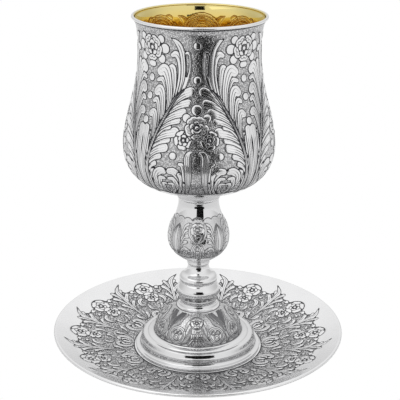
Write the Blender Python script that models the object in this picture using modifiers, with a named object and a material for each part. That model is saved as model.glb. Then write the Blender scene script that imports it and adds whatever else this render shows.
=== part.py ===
"""Kiddush cup: a chased silver goblet standing in its matching saucer.

Five turned pieces share the upright axis Z, from the table up: saucer, foot,
lower stem, knop and bowl. The front, where the first column of pearls runs
down the bowl, faces -Y. Lengths are in metres; a piece's sizes are written
in millimetres times MM.
"""

import math

import bpy
import numpy as np

MM = 0.001
GAP = 0.3 * MM            # clearance between one piece and the next
SHEET = 0.9 * MM          # silver sheet of the bowl and the saucer

# Heights of the joints between pieces, above the table
SAUCER_FLOOR = SHEET
FOOT_TOP = 24.0 * MM
STEM_TOP = 42.8 * MM
KNOP_TOP = 79.6 * MM
LIP_TOP = 162.6 * MM

# Saucer
SAUCER_RADIUS = 70.0 * MM
SAUCER_HEIGHT = 11.0 * MM
SAUCER_BASE_RADIUS = 31.0 * MM
CHASED_RIM_RADIUS = 61.6 * MM
SAUCER_REPEATS = 12

# Goblet
FOOT_RADIUS = 30.2 * MM
WAIST_RADIUS = 4.9 * MM
COLLAR_RADIUS = 10.0 * MM
LIP_RADIUS = 30.6 * MM
LIP_BEAD = 0.65 * MM
BOWL_REPEATS = 4
PATTERN_TURN = math.radians(-2.0)   # the first column of pearls, seen from the front

# Height of the raised work over its ground
BOWL_RELIEF = 0.55 * MM
SAUCER_RELIEF = 0.60 * MM
KNOP_RELIEF = 0.50 * MM
FOOT_RELIEF = 0.45 * MM

# Distance between points along an outline, and steps round, before the faces are thinned out
FINE = 1.1 * MM
COARSE = 3.0 * MM
BOWL_STEPS = 320
SAUCER_STEPS = 384
KNOP_STEPS = 128
FOOT_STEPS = 176
STEM_STEPS = 32

# Triangles that each carved piece is thinned to
BOWL_FACES = 4500
SAUCER_FACES = 3000
KNOP_FACES = 900
FOOT_FACES = 1000
BOSS_KEEPING = 0.0001      # how much harder pearls and petals are to thin out


def smooth_run(points, spacing):
    """Points on a smooth curve through the given ones, about one spacing apart."""
    points = np.array(points, dtype=float)
    first = 2 * points[0] - points[1]
    last = 2 * points[-1] - points[-2]
    guide = np.vstack([first, points, last])
    run = []
    for a, b, c, d in zip(guide, guide[1:], guide[2:], guide[3:]):
        steps = max(1, round(np.linalg.norm(c - b) / spacing))
        for t in np.arange(steps) / steps:
            run.append(0.5 * (2 * b + (c - a) * t + (2 * a - 5 * b + 4 * c - d) * t ** 2
                              + (3 * b - a - 3 * c + d) * t ** 3))
    run.append(points[-1])
    return np.array(run)


def arc_run(centre, radius, start, end, steps):
    """Points on an arc about centre, from one angle to another in degrees, 0 pointing outwards."""
    angles = np.radians(np.linspace(start, end, steps + 1))
    return np.column_stack([centre[0] + radius * np.cos(angles), centre[1] + radius * np.sin(angles)])


def offset_run(run, distance):
    """The same run moved square to itself: towards the axis and down for a positive distance."""
    tangent = np.gradient(run, axis=0)
    tangent /= np.linalg.norm(tangent, axis=1)[:, None]
    outward = np.column_stack([-tangent[:, 1], tangent[:, 0]])
    return run - distance * outward


def silver(name, colour, roughness):
    """A polished metal, its colour given as it looks in the light of a room."""
    material = bpy.data.materials.new(name)
    material.use_nodes = True
    shader = material.node_tree.nodes["Principled BSDF"]
    shader.inputs["Base Color"].default_value = (*colour, 1.0)
    shader.inputs["Metallic"].default_value = 1.0
    shader.inputs["Roughness"].default_value = roughness
    material.diffuse_color = (*colour, 1.0)
    return material


def turned(name, outline, steps, material, collection):
    """A piece turned about Z from an outline that runs down its outer side."""
    mesh = bpy.data.meshes.new(name)
    corners = [(radius, 0.0, height) for radius, height in outline]
    edges = [(i, i + 1) for i in range(len(corners) - 1)]
    mesh.from_pydata(corners, edges, [])
    piece = bpy.data.objects.new(name, mesh)
    collection.objects.link(piece)
    mesh.materials.append(material)
    screw = piece.modifiers.new("Turn", "SCREW")
    screw.axis = "Z"
    screw.angle = 2 * math.pi
    screw.steps = steps
    screw.render_steps = steps
    screw.use_merge_vertices = True
    screw.merge_threshold = 0.00001
    screw.use_smooth_shade = True
    return piece


def bake_turning(piece):
    """Swaps a turned piece's outline for the mesh that its modifiers make of it."""
    bpy.context.view_layer.update()
    turned_mesh = bpy.data.meshes.new_from_object(piece.evaluated_get(bpy.context.evaluated_depsgraph_get()))
    outline_mesh = piece.data
    piece.modifiers.clear()
    piece.data = turned_mesh
    bpy.data.meshes.remove(outline_mesh)
    turned_mesh.name = piece.name


class Chasing:
    """Raised work on the outer side of a turned piece, repeated and mirrored round it.

    A place on the piece is its angle in degrees from the middle of a repeat,
    and its station: the height, or the radius on a flat piece, that the
    outline has there.
    """

    def __init__(self, piece, outline, station_axis, repeats, turn):
        corners = np.empty(len(piece.data.vertices) * 3)
        piece.data.vertices.foreach_get("co", corners)
        self.piece = piece
        self.corners = corners.reshape(-1, 3)
        self.radius = np.hypot(self.corners[:, 0], self.corners[:, 1])
        azimuth = np.arctan2(self.corners[:, 0], -self.corners[:, 1]) - turn
        half_repeat = math.pi / repeats
        self.angle = np.abs((azimuth + half_repeat) % (2 * half_repeat) - half_repeat)
        section = np.column_stack([self.radius, self.corners[:, 2]])
        nearest = np.argmin(np.linalg.norm(section[:, None] - outline[None], axis=2), axis=1)
        steps = np.linalg.norm(np.diff(outline, axis=0), axis=1)
        run = np.concatenate([[0.0], np.cumsum(steps)])
        tangent = np.gradient(outline, axis=0)
        tangent /= np.linalg.norm(tangent, axis=1)[:, None]
        self.outward = np.column_stack([-tangent[:, 1], tangent[:, 0]])[nearest]
        self.run = run[nearest]
        self.station = outline[nearest, station_axis]
        rising = np.argsort(outline[:, station_axis])
        self.run_of_station = lambda value: np.interp(
            value, outline[rising, station_axis], run[rising])
        self.on_outline = np.linalg.norm(section - outline[nearest], axis=1) < 0.01 * MM
        self.height = np.zeros(len(self.corners))
        self.near_boss = np.zeros(len(self.corners), dtype=bool)

    def stroke(self, spine, half_widths, height):
        """A rounded ridge along a spine of places, with a half width at each."""
        angles = np.radians([place[0] for place in spine])
        runs = self.run_of_station(np.array([place[1] for place in spine]))
        for i in range(len(spine) - 1):
            across = (self.angle - angles[i]) * self.radius
            along = self.run - runs[i]
            step_across = (angles[i + 1] - angles[i]) * self.radius
            step_along = runs[i + 1] - runs[i]
            reach = np.maximum(step_across ** 2 + step_along ** 2, (0.01 * MM) ** 2)
            share = np.clip((across * step_across + along * step_along) / reach, 0.0, 1.0)
            distance = np.hypot(across - share * step_across, along - share * step_along)
            half_width = half_widths[i] + (half_widths[i + 1] - half_widths[i]) * share
            crown = np.clip(1.0 - (distance / half_width) ** 2, 0.0, 1.0) ** 0.6
            self.height = np.maximum(self.height, height * crown)

    def leaf(self, base, bend, tip, half_width, height, pointed=False):
        """A leaf from base to tip, pulled towards bend: widest near its round tip, or pointed."""
        shares = np.linspace(0.0, 1.0, 7)
        base, bend, tip = np.array(base), np.array(bend), np.array(tip)
        spine = [(1 - t) ** 2 * base + 2 * t * (1 - t) * bend + t ** 2 * tip for t in shares]
        if pointed:
            widths = half_width * (0.2 + 0.8 * np.sin(math.pi * shares ** 0.8))
        else:
            widths = half_width * (0.3 + 0.7 * np.sin(0.5 * math.pi * shares))
        self.stroke(spine, widths, height)

    def pearl(self, place, radius, height):
        """A round boss."""
        before = self.height.copy()
        self.stroke([place, place], [radius, radius], height)
        self.near_boss |= self.height > before

    def flower(self, place, ring, petals, height):
        """Round petals set in a ring about a boss."""
        reach = self.radius_at(place[1])
        size = 0.95 * ring * math.sin(math.pi / petals)
        scale = self.station_scale(place[1])
        for turn in np.arange(petals) * 2 * math.pi / petals:
            angle = place[0] + math.degrees(ring * math.sin(turn) / reach)
            self.pearl((angle, place[1] + ring * math.cos(turn) * scale), size, height)
        self.pearl(place, 0.45 * ring, 0.8 * height)

    def radius_at(self, station):
        """The piece's radius at a station."""
        return self.radius[self.on_outline][np.argmin(np.abs(self.station[self.on_outline] - station))]

    def station_scale(self, station):
        """How far the station moves for each unit along the outline."""
        step = 2.0 * MM
        ahead, behind = self.run_of_station(station + step), self.run_of_station(station - step)
        return 2 * step / abs(ahead - behind)

    def press(self, relief, low, high, fade):
        """Sinks the ground between two stations, and leaves the raised work at the surface."""
        into = np.minimum(self.station - low, high - self.station) / fade
        sunk = relief * np.clip(into, 0.0, 1.0) - self.height * np.clip(into, 0.0, 1.0)
        depth = np.where(self.on_outline, np.clip(sunk, 0.0, relief), 0.0)
        azimuth = np.arctan2(self.corners[:, 1], self.corners[:, 0])
        self.corners[:, 0] -= depth * self.outward[:, 0] * np.cos(azimuth)
        self.corners[:, 1] -= depth * self.outward[:, 0] * np.sin(azimuth)
        self.corners[:, 2] -= depth * self.outward[:, 1]
        self.piece.data.vertices.foreach_set("co", self.corners.ravel())
        self.piece.data.update()


def thin_out(work, faces):
    """Keeps about the given number of triangles, where the surface bends most, and the bosses."""
    piece = work.piece
    triangles = sum(len(face.vertices) - 2 for face in piece.data.polygons)
    freely = piece.vertex_groups.new(name="thinned freely")
    freely.add(np.flatnonzero(~work.near_boss).tolist(), 1.0, "REPLACE")
    freely.add(np.flatnonzero(work.near_boss).tolist(), 0.5, "REPLACE")
    thinning = piece.modifiers.new("Thin out", "DECIMATE")
    thinning.decimate_type = "COLLAPSE"
    thinning.ratio = faces / triangles
    thinning.vertex_group = freely.name
    thinning.vertex_group_factor = BOSS_KEEPING


def between(start, end, share):
    """A place part of the way from one place to another."""
    return tuple(a + (b - a) * share for a, b in zip(start, end))


def saucer_outline():
    """Rim bead, upper side to the middle of the floor, then the underside out again."""
    bead = 0.8 * SHEET
    rim = arc_run((SAUCER_RADIUS - bead, SAUCER_HEIGHT - bead), bead, 100.0, -90.0, 6)
    slope_in, slope_out = 0.14, 0.335
    dish_radii = np.arange(SAUCER_BASE_RADIUS, CHASED_RIM_RADIUS + FINE, FINE)
    reach = dish_radii - SAUCER_BASE_RADIUS
    bend = (slope_out - slope_in) / (2 * (CHASED_RIM_RADIUS - SAUCER_BASE_RADIUS))
    dish = np.column_stack([dish_radii, SAUCER_FLOOR + slope_in * reach + bend * reach ** 2])
    border = smooth_run([dish[-1], rim[0]], COARSE)[1:-1]
    upper = np.vstack([[(0.0, SAUCER_FLOOR)], [(0.5 * SAUCER_BASE_RADIUS, SAUCER_FLOOR)], dish, border])
    under = offset_run(upper[2:], SHEET)[::3]
    under = np.vstack([[(SAUCER_BASE_RADIUS + 0.5 * MM, 0.0)], under[1:]])
    return np.vstack([upper, rim, under[::-1], [(0.5 * SAUCER_BASE_RADIUS, 0.0)], [(0.0, 0.0)]]), dish


def make_saucer(material, collection):
    """The saucer: twelve pairs of flowers with a plume of leaves between each two."""
    outline, dish = saucer_outline()
    saucer = turned("saucer", outline, SAUCER_STEPS, material, collection)
    bake_turning(saucer)
    work = Chasing(saucer, dish[::-1], 0, SAUCER_REPEATS, 0.0)
    plume = 180.0 / SAUCER_REPEATS
    work.flower((0.0, 57.8 * MM), 2.7 * MM, 5, SAUCER_RELIEF)
    work.flower((0.0, 51.6 * MM), 2.2 * MM, 5, SAUCER_RELIEF)
    work.leaf((plume, 41.0 * MM), (plume, 52.0 * MM), (plume, 61.0 * MM), 1.3 * MM,
              SAUCER_RELIEF, pointed=True)
    inner_tip, outer_tip = (plume - 4.5, 46.5 * MM), (plume - 5.0, 60.5 * MM)
    for share in np.linspace(0.0, 1.0, 4):
        tip = between(inner_tip, outer_tip, share)
        base = (plume, (40.0 + 6.0 * share) * MM)
        bend = (plume - 1.5, tip[1] - 3.0 * MM)
        work.leaf(base, bend, tip, 1.15 * MM, SAUCER_RELIEF)
    work.leaf((0.0, 33.5 * MM), (0.0, 39.0 * MM), (0.0, 45.0 * MM), 1.8 * MM, SAUCER_RELIEF)
    work.pearl((plume, 36.8 * MM), 2.3 * MM, SAUCER_RELIEF)
    work.leaf((4.0, 43.0 * MM), (9.5, 41.0 * MM), (8.5, 34.5 * MM), 1.2 * MM, SAUCER_RELIEF)
    work.press(SAUCER_RELIEF, 32.0 * MM, CHASED_RIM_RADIUS, 1.2 * MM)
    thin_out(work, SAUCER_FACES)


def foot_outline():
    """From the top of the neck, out over the dome and down its mouldings to the flange."""
    base = SAUCER_FLOOR + GAP
    neck = smooth_run([(8.6 * MM, FOOT_TOP), (8.8 * MM, 23.0 * MM), (9.5 * MM, 22.2 * MM),
                       (11.0 * MM, 21.8 * MM)], FINE)
    dome = smooth_run([(11.0 * MM, 21.8 * MM), (13.6 * MM, 20.2 * MM), (16.5 * MM, 17.9 * MM),
                       (19.0 * MM, 15.2 * MM), (20.8 * MM, 12.2 * MM), (21.5 * MM, 8.9 * MM)], FINE)
    step = [(21.9 * MM, 8.5 * MM), (23.9 * MM, 8.3 * MM), (24.3 * MM, 7.8 * MM)]
    moulding = smooth_run([(24.8 * MM, 7.7 * MM), (26.9 * MM, 7.0 * MM), (27.7 * MM, 5.4 * MM)], FINE)
    cove = smooth_run([(27.4 * MM, 5.0 * MM), (27.7 * MM, 3.4 * MM), (28.6 * MM, 2.4 * MM),
                       (29.9 * MM, 2.0 * MM)], FINE)
    flange = [(FOOT_RADIUS, 1.75 * MM), (FOOT_RADIUS, base)]
    outline = np.vstack([[(0.0, FOOT_TOP)], neck, dome[1:], step, moulding, cove, flange, [(0.0, base)]])
    return outline, dome


def make_foot(material, collection):
    """The foot: a chased dome on plain turned mouldings, standing on its flange."""
    outline, dome = foot_outline()
    foot = turned("foot", outline, FOOT_STEPS, material, collection)
    bake_turning(foot)
    work = Chasing(foot, dome, 1, BOWL_REPEATS, PATTERN_TURN)
    work.flower((0.0, 19.1 * MM), 2.3 * MM, 6, FOOT_RELIEF)
    work.leaf((0.0, 16.0 * MM), (0.0, 13.0 * MM), (0.0, 10.6 * MM), 1.5 * MM, FOOT_RELIEF)
    work.pearl((27.0, 12.4 * MM), 2.2 * MM, FOOT_RELIEF)
    work.leaf((10.0, 9.8 * MM), (12.0, 13.0 * MM), (19.0, 16.2 * MM), 0.8 * MM, FOOT_RELIEF)
    work.leaf((22.0, 20.4 * MM), (26.0, 17.4 * MM), (37.0, 13.6 * MM), 0.8 * MM, FOOT_RELIEF)
    work.leaf((45.0, 10.0 * MM), (45.0, 14.0 * MM), (45.0, 19.0 * MM), 1.8 * MM, FOOT_RELIEF)
    work.press(FOOT_RELIEF, 9.4 * MM, 21.6 * MM, 0.8 * MM)
    thin_out(work, FOOT_FACES)


def stem_outline():
    """A flared bell over a round bulb, up to the waist of the stem."""
    base = FOOT_TOP + GAP
    bell = smooth_run([(WAIST_RADIUS, STEM_TOP), (5.3 * MM, 41.0 * MM), (6.6 * MM, 39.0 * MM),
                       (8.4 * MM, 37.8 * MM), (9.1 * MM, 36.6 * MM), (8.9 * MM, 35.0 * MM)], COARSE)
    groove = [(8.5 * MM, 34.6 * MM), (8.6 * MM, 34.1 * MM)]
    bulb = smooth_run([(9.1 * MM, 33.6 * MM), (10.1 * MM, 31.6 * MM), (10.2 * MM, 29.6 * MM),
                       (9.4 * MM, 27.0 * MM), (8.7 * MM, 25.4 * MM), (8.6 * MM, base)], COARSE)
    return np.vstack([[(0.0, STEM_TOP)], bell, groove, bulb, [(0.0, base)]])


def make_stem(material, collection):
    """The plain polished lower stem."""
    turned("stem", stem_outline(), STEM_STEPS, material, collection)


def knop_outline():
    """Collar under the bowl, baluster knop, and the bead at the waist."""
    base = STEM_TOP + GAP
    bead = 0.55 * MM
    collar = [(8.2 * MM, KNOP_TOP), (8.9 * MM, 78.6 * MM)]
    edge = arc_run((COLLAR_RADIUS - bead, 77.5 * MM), bead, 70.0, -70.0, 4)
    baluster = smooth_run([(9.5 * MM, 76.6 * MM), (9.6 * MM, 73.8 * MM), (10.6 * MM, 69.8 * MM),
                           (12.3 * MM, 66.4 * MM), (13.9 * MM, 62.8 * MM), (14.7 * MM, 58.2 * MM),
                           (14.1 * MM, 53.8 * MM), (11.7 * MM, 50.1 * MM), (8.4 * MM, 47.4 * MM),
                           (6.2 * MM, 46.0 * MM), (5.0 * MM, 45.3 * MM)], FINE)
    waist = arc_run((WAIST_RADIUS - 0.5 * MM, base + 1.1 * MM), 1.0 * MM, 55.0, -55.0, 4)
    outline = np.vstack([[(0.0, KNOP_TOP)], collar, edge, baluster, waist, [(4.6 * MM, base)], [(0.0, base)]])
    return outline, baluster


def make_knop(material, collection):
    """The knop: four rosettes, with a tall arched leaf between each two."""
    outline, baluster = knop_outline()
    knop = turned("knop", outline, KNOP_STEPS, material, collection)
    bake_turning(knop)
    work = Chasing(knop, baluster, 1, BOWL_REPEATS, PATTERN_TURN)
    work.flower((0.0, 64.8 * MM), 2.0 * MM, 6, KNOP_RELIEF)
    work.leaf((45.0, 51.0 * MM), (45.0, 58.0 * MM), (45.0, 65.6 * MM), 2.1 * MM, KNOP_RELIEF)
    work.leaf((0.0, 50.6 * MM), (0.0, 54.0 * MM), (0.0, 57.4 * MM), 1.5 * MM, KNOP_RELIEF)
    work.leaf((30.0, 55.0 * MM), (25.0, 58.0 * MM), (19.0, 61.8 * MM), 1.0 * MM, KNOP_RELIEF)
    work.leaf((14.0, 52.0 * MM), (17.0, 56.0 * MM), (26.0, 54.6 * MM), 1.0 * MM, KNOP_RELIEF)
    work.pearl((22.0, 67.0 * MM), 1.2 * MM, KNOP_RELIEF)
    work.press(KNOP_RELIEF, 49.8 * MM, 70.4 * MM, 0.9 * MM)
    thin_out(work, KNOP_FACES)


def bowl_outline():
    """Inside wall from the middle up, over the rolled lip, and down the outer side."""
    base = KNOP_TOP + GAP
    outer = smooth_run([(29.9 * MM, 161.1 * MM), (28.8 * MM, 158.4 * MM), (28.1 * MM, 153.8 * MM),
                        (27.9 * MM, 148.0 * MM), (28.3 * MM, 139.6 * MM), (30.2 * MM, 128.4 * MM),
                        (33.1 * MM, 116.9 * MM), (34.9 * MM, 107.7 * MM), (35.1 * MM, 101.6 * MM),
                        (34.1 * MM, 96.1 * MM), (31.1 * MM, 90.4 * MM), (25.4 * MM, 85.8 * MM),
                        (17.2 * MM, 82.6 * MM), (8.8 * MM, 80.3 * MM)], FINE)
    lip = arc_run((LIP_RADIUS - LIP_BEAD, LIP_TOP - LIP_BEAD), LIP_BEAD, 190.0, -70.0, 7)
    inner = offset_run(outer, SHEET + BOWL_RELIEF)[1::4][::-1]
    floor = [(0.0, base + SHEET), (6.0 * MM, base + SHEET)]
    outline = np.vstack([floor, inner, lip, outer, [(8.0 * MM, base)], [(0.0, base)]])
    return outline, outer


def chase_spray(work, axis_of_pearls):
    """One half of a repeat: a rib that curves up towards the front column, and its leaves."""
    rib = [(40.0, 92.0), (39.5, 101.0), (36.5, 110.5), (32.0, 118.0), (27.5, 123.0), (22.0, 128.0),
           (13.0, 134.5)]
    rib = [(angle, height * MM) for angle, height in rib]
    work.stroke(rib, np.linspace(0.9, 0.6, len(rib)) * MM, 0.8 * BOWL_RELIEF)
    top_tip, low_tip = (3.8, 135.5 * MM), (31.0, 103.0 * MM)
    top_base, low_base = (18.0, 130.5 * MM), (39.5, 99.0 * MM)
    for share in np.linspace(0.0, 1.0, 9):
        tip = between(top_tip, low_tip, share)
        base = between(top_base, low_base, share)
        bend = (base[0] - 3.0, tip[1] + 1.2 * MM)
        work.leaf(base, bend, tip, (1.75 - 0.6 * share) * MM, BOWL_RELIEF)
    high_tip, outer_tip = (33.0, 144.5 * MM), (39.0, 124.0 * MM)
    high_base, outer_base = (20.5, 127.5 * MM), (33.5, 114.0 * MM)
    for share in np.linspace(0.0, 1.0, 5):
        tip = between(high_tip, outer_tip, share)
        base = between(high_base, outer_base, share)
        bend = (between(base, tip, 0.25)[0], between(base, tip, 0.85)[1])
        work.leaf(base, bend, tip, (1.7 - 0.4 * share) * MM, BOWL_RELIEF)
    work.leaf((16.0, 134.0 * MM), (6.5, 139.0 * MM), (8.8, 150.5 * MM), 0.9 * MM, BOWL_RELIEF)
    work.leaf((16.5, 134.0 * MM), (10.0, 150.0 * MM), (22.0, 156.0 * MM), 1.4 * MM,
              BOWL_RELIEF, pointed=True)
    work.leaf((18.0, 132.0 * MM), (15.5, 145.0 * MM), (20.5, 148.5 * MM), 1.3 * MM, BOWL_RELIEF)
    work.leaf((20.0, 131.0 * MM), (21.0, 141.0 * MM), (25.5, 144.0 * MM), 1.0 * MM, BOWL_RELIEF)
    work.leaf((axis_of_pearls, 90.0 * MM), (41.5, 104.0 * MM), (41.5, 117.0 * MM), 1.2 * MM, BOWL_RELIEF)


def chase_foot_of_panel(work):
    """The lower part of a repeat: a niche in front, a shell to each side, and a pearl over it."""
    work.leaf((6.5, 86.0 * MM), (6.5, 97.0 * MM), (7.8, 108.0 * MM), 1.2 * MM, BOWL_RELIEF)
    work.leaf((9.0, 88.0 * MM), (12.0, 97.0 * MM), (12.0, 102.8 * MM), 1.1 * MM, BOWL_RELIEF)
    work.leaf((20.5, 90.0 * MM), (20.0, 95.0 * MM), (17.5, 99.4 * MM), 2.0 * MM, BOWL_RELIEF)
    work.leaf((22.5, 90.0 * MM), (23.0, 95.0 * MM), (26.0, 99.4 * MM), 2.0 * MM, BOWL_RELIEF)
    work.leaf((27.0, 88.0 * MM), (33.0, 92.0 * MM), (33.5, 98.5 * MM), 1.2 * MM, BOWL_RELIEF)
    work.pearl((17.5, 106.7 * MM), 1.8 * MM, BOWL_RELIEF)


def make_bowl(material, collection):
    """The bowl: four repeats, each with its sprays, flowers and columns of pearls."""
    outline, outer = bowl_outline()
    bowl = turned("bowl", outline, BOWL_STEPS, material, collection)
    bake_turning(bowl)
    work = Chasing(bowl, outer, 1, BOWL_REPEATS, PATTERN_TURN)
    edge = 180.0 / BOWL_REPEATS
    chase_spray(work, edge)
    chase_foot_of_panel(work)
    work.flower((0.0, 120.4 * MM), 2.8 * MM, 5, BOWL_RELIEF)
    work.flower((9.5, 114.3 * MM), 1.9 * MM, 5, BOWL_RELIEF)
    work.pearl((0.0, 126.8 * MM), 1.7 * MM, BOWL_RELIEF)
    work.flower((edge, 152.4 * MM), 2.7 * MM, 6, BOWL_RELIEF)
    work.flower((edge - 14.5, 153.0 * MM), 1.7 * MM, 5, BOWL_RELIEF)
    work.pearl((edge - 8.0, 148.0 * MM), 1.5 * MM, BOWL_RELIEF)
    work.pearl((edge, 145.2 * MM), 1.6 * MM, BOWL_RELIEF)
    for height in (139.2 * MM, 131.0 * MM, 120.6 * MM):
        work.pearl((edge, height), 1.7 * MM, BOWL_RELIEF)
    for height in (154.2 * MM, 139.4 * MM):
        work.pearl((0.0, height), 1.7 * MM, BOWL_RELIEF)
    work.press(BOWL_RELIEF, 83.5 * MM, 159.2 * MM, 2.0 * MM)
    thin_out(work, BOWL_FACES)


for leftover in list(bpy.data.objects):
    bpy.data.objects.remove(leftover, do_unlink=True)

cup_collection = bpy.data.collections.new("kiddush_cup")
bpy.context.scene.collection.children.link(cup_collection)
chased_silver = silver("chased silver", (0.80, 0.80, 0.81), 0.22)
bright_silver = silver("bright silver", (0.90, 0.90, 0.91), 0.08)
make_saucer(chased_silver, cup_collection)
make_foot(chased_silver, cup_collection)
make_stem(bright_silver, cup_collection)
make_knop(chased_silver, cup_collection)
make_bowl(chased_silver, cup_collection)
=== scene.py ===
"""Kiddush cup of chased silver in its saucer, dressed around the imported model."""

import math

import bpy
import numpy as np
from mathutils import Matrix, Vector


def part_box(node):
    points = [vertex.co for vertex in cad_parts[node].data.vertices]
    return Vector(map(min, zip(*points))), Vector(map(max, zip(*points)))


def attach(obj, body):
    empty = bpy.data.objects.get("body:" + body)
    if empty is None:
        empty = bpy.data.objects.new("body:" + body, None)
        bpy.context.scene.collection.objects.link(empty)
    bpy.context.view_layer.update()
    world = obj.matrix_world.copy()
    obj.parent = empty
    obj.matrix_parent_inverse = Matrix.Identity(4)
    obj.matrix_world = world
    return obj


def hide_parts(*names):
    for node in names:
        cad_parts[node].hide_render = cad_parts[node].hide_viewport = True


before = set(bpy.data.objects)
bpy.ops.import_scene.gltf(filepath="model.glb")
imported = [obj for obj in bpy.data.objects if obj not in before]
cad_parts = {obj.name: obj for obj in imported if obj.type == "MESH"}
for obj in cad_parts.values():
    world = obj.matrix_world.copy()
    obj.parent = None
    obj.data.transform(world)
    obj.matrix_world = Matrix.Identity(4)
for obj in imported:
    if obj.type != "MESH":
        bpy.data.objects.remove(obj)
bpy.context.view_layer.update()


# Saucer
# A round dish of thin silver sheet, raised by hammer over a stake and then chased from
# above: twelve pairs of flowers with a plume of leaves between each two, on a matted
# ground, inside a plain polished border with a small rolled edge.

MM = 0.001  # the pieces' sizes are in millimetres, and the studio's in metres
CENTRE = 0.5  # radius of the small flat face that closes a skin on its axis
FINE_TO_COARSE = 8  # fine corners to each coarse one on a skin's hidden side
FAR_FROM_LINES = 9.0  # the line distance where nothing is drawn
STROKE_MARGIN = 1.6  # how far round a stroke its border is measured
LAP_REACH = 0.6  # how near a shape another one counts as lapped by it
NARROWEST_STROKE = 0.08  # least half width
VEIN_FADE = 12.0  # veins end within a twelfth of their leaf
GROUND_BEVEL = 0.5  # width of the slope from a polished face to the ground
LINE_BEVEL, EDGE_BEVEL = 0.35, 0.6  # the same for an outline, and for the ground's edge
COVERED = -3.0  # a shape pushes the ground's edge away at three times its depth
RING_SHRINK, PETAL_SHARE = 0.6, 0.8  # a rose's inner ring to its outer, a petal to its room
LOBE_SHARE, LOBE_LEAN = 0.76, 0.5  # the two lobes of an outer petal
LINED_PETAL, CONTOUR_GAP = 2.5, 0.45  # petals wider than this have contour lines inside
PETALS, INNER_SHARE = 5, 0.3  # in a ring, and how far out each petal starts


def smooth_run(points, spacing=None):
    """Points on a smooth curve through the given ones, at a spacing or four to each span."""
    points = np.array(points, dtype=float)
    guide = np.vstack([2 * points[0] - points[1], points, 2 * points[-1] - points[-2]])
    run = []
    for a, b, c, d in zip(guide, guide[1:], guide[2:], guide[3:]):
        steps = max(1, round(np.linalg.norm(c - b) / spacing)) if spacing else 4
        for t in np.arange(steps) / steps:
            run.append(0.5 * (2 * b + (c - a) * t + (2 * a - 5 * b + 4 * c - d) * t ** 2
                              + (3 * b - a - 3 * c + d) * t ** 3))
    run.append(points[-1])
    return np.array(run)


def arc_run(centre, radius, start, end, steps):
    """Points on an arc, its angles in degrees from straight outwards."""
    angles = np.radians(np.linspace(start, end, steps + 1))
    return np.column_stack([centre[0] + radius * np.cos(angles), centre[1] + radius * np.sin(angles)])


def outward_of(outline):
    """Unit normals of an outline that runs down the outer side."""
    tangent = np.gradient(outline, axis=0)
    tangent /= np.linalg.norm(tangent, axis=1)[:, None]
    return np.column_stack([-tangent[:, 1], tangent[:, 0]])


def band(upper, lower, steps):
    """Faces between two rings of corners that start at the given numbers."""
    return [(upper + j, lower + j, lower + (j + 1) % steps, upper + (j + 1) % steps) for j in range(steps)]


class TurnedSkin:
    """Rings of corners about Z. Fine rings carry chasing, and coarse ones the hidden side.

    An outline's points are a radius and a height, from the top down, or from the middle
    outwards where the chased side faces up.
    """

    def __init__(self, outline, steps, hidden=()):
        self.outline = np.array(outline, dtype=float)
        self.steps = steps
        self.azimuth = np.arange(steps) * 2 * math.pi / steps
        self.hidden = [tuple(point) for point in hidden]
        self.coarse_steps = steps // FINE_TO_COARSE
        self.shift = np.zeros((len(self.outline), steps))

    def build(self, name, attributes=None):
        """The closed mesh, its attributes given on the fine rings."""
        outward = outward_of(self.outline)
        radius = self.outline[:, :1] + self.shift * outward[:, :1]
        height = self.outline[:, 1:] + self.shift * outward[:, 1:]
        corners = np.stack([radius * np.sin(self.azimuth), -radius * np.cos(self.azimuth), height], axis=2)
        corners = corners.reshape(-1, 3)
        rings, steps, few = len(self.outline), self.steps, self.coarse_steps
        faces = []
        for ring in range(rings - 1):
            faces += band(ring * steps, (ring + 1) * steps, steps)
        last = (rings - 1) * steps
        start = rings * steps
        coarse_azimuth = np.arange(few) * 2 * math.pi / few
        extra = []
        for radius, height in self.hidden:
            extra += [(radius * math.sin(a), -radius * math.cos(a), height) for a in coarse_azimuth]
        count = len(self.hidden)
        for k in range(count - 1):
            faces += band(start + k * few, start + (k + 1) * few, few)
        if count:
            final = start + (count - 1) * few
            faces += [self.wide_face(last, start, j, upper_is_fine=True) for j in range(few)]
            faces += [self.wide_face(0, final, j, upper_is_fine=False) for j in range(few)]
        else:
            faces.append(tuple(range(steps)))
            faces.append(tuple(last + j for j in reversed(range(steps))))
        mesh = bpy.data.meshes.new(name)
        points = np.vstack([corners, np.array(extra).reshape(-1, 3)]) * MM
        mesh.from_pydata(points.tolist(), [], faces)
        for label, values in (attributes or {}).items():
            wide = values.ndim == 2
            layer = mesh.attributes.new(label, "FLOAT_VECTOR" if wide else "FLOAT", "POINT")
            filled = np.full((len(points), 3) if wide else len(points), FAR_FROM_LINES, dtype=np.float32)
            filled[:len(corners)] = values
            layer.data.foreach_set("vector" if wide else "value", filled.ravel())
        mesh.shade_smooth()
        piece = bpy.data.objects.new(name, mesh)
        bpy.context.scene.collection.objects.link(piece)
        return piece

    def wide_face(self, fine, coarse, j, upper_is_fine):
        """A many-sided face that joins a run of fine corners to one coarse edge."""
        run = [fine + (j * FINE_TO_COARSE + k) % self.steps for k in range(FINE_TO_COARSE + 1)]
        pair = [coarse + j, coarse + (j + 1) % self.coarse_steps]
        return tuple(run[::-1] + pair) if upper_is_fine else tuple(run + pair[::-1])


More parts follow.
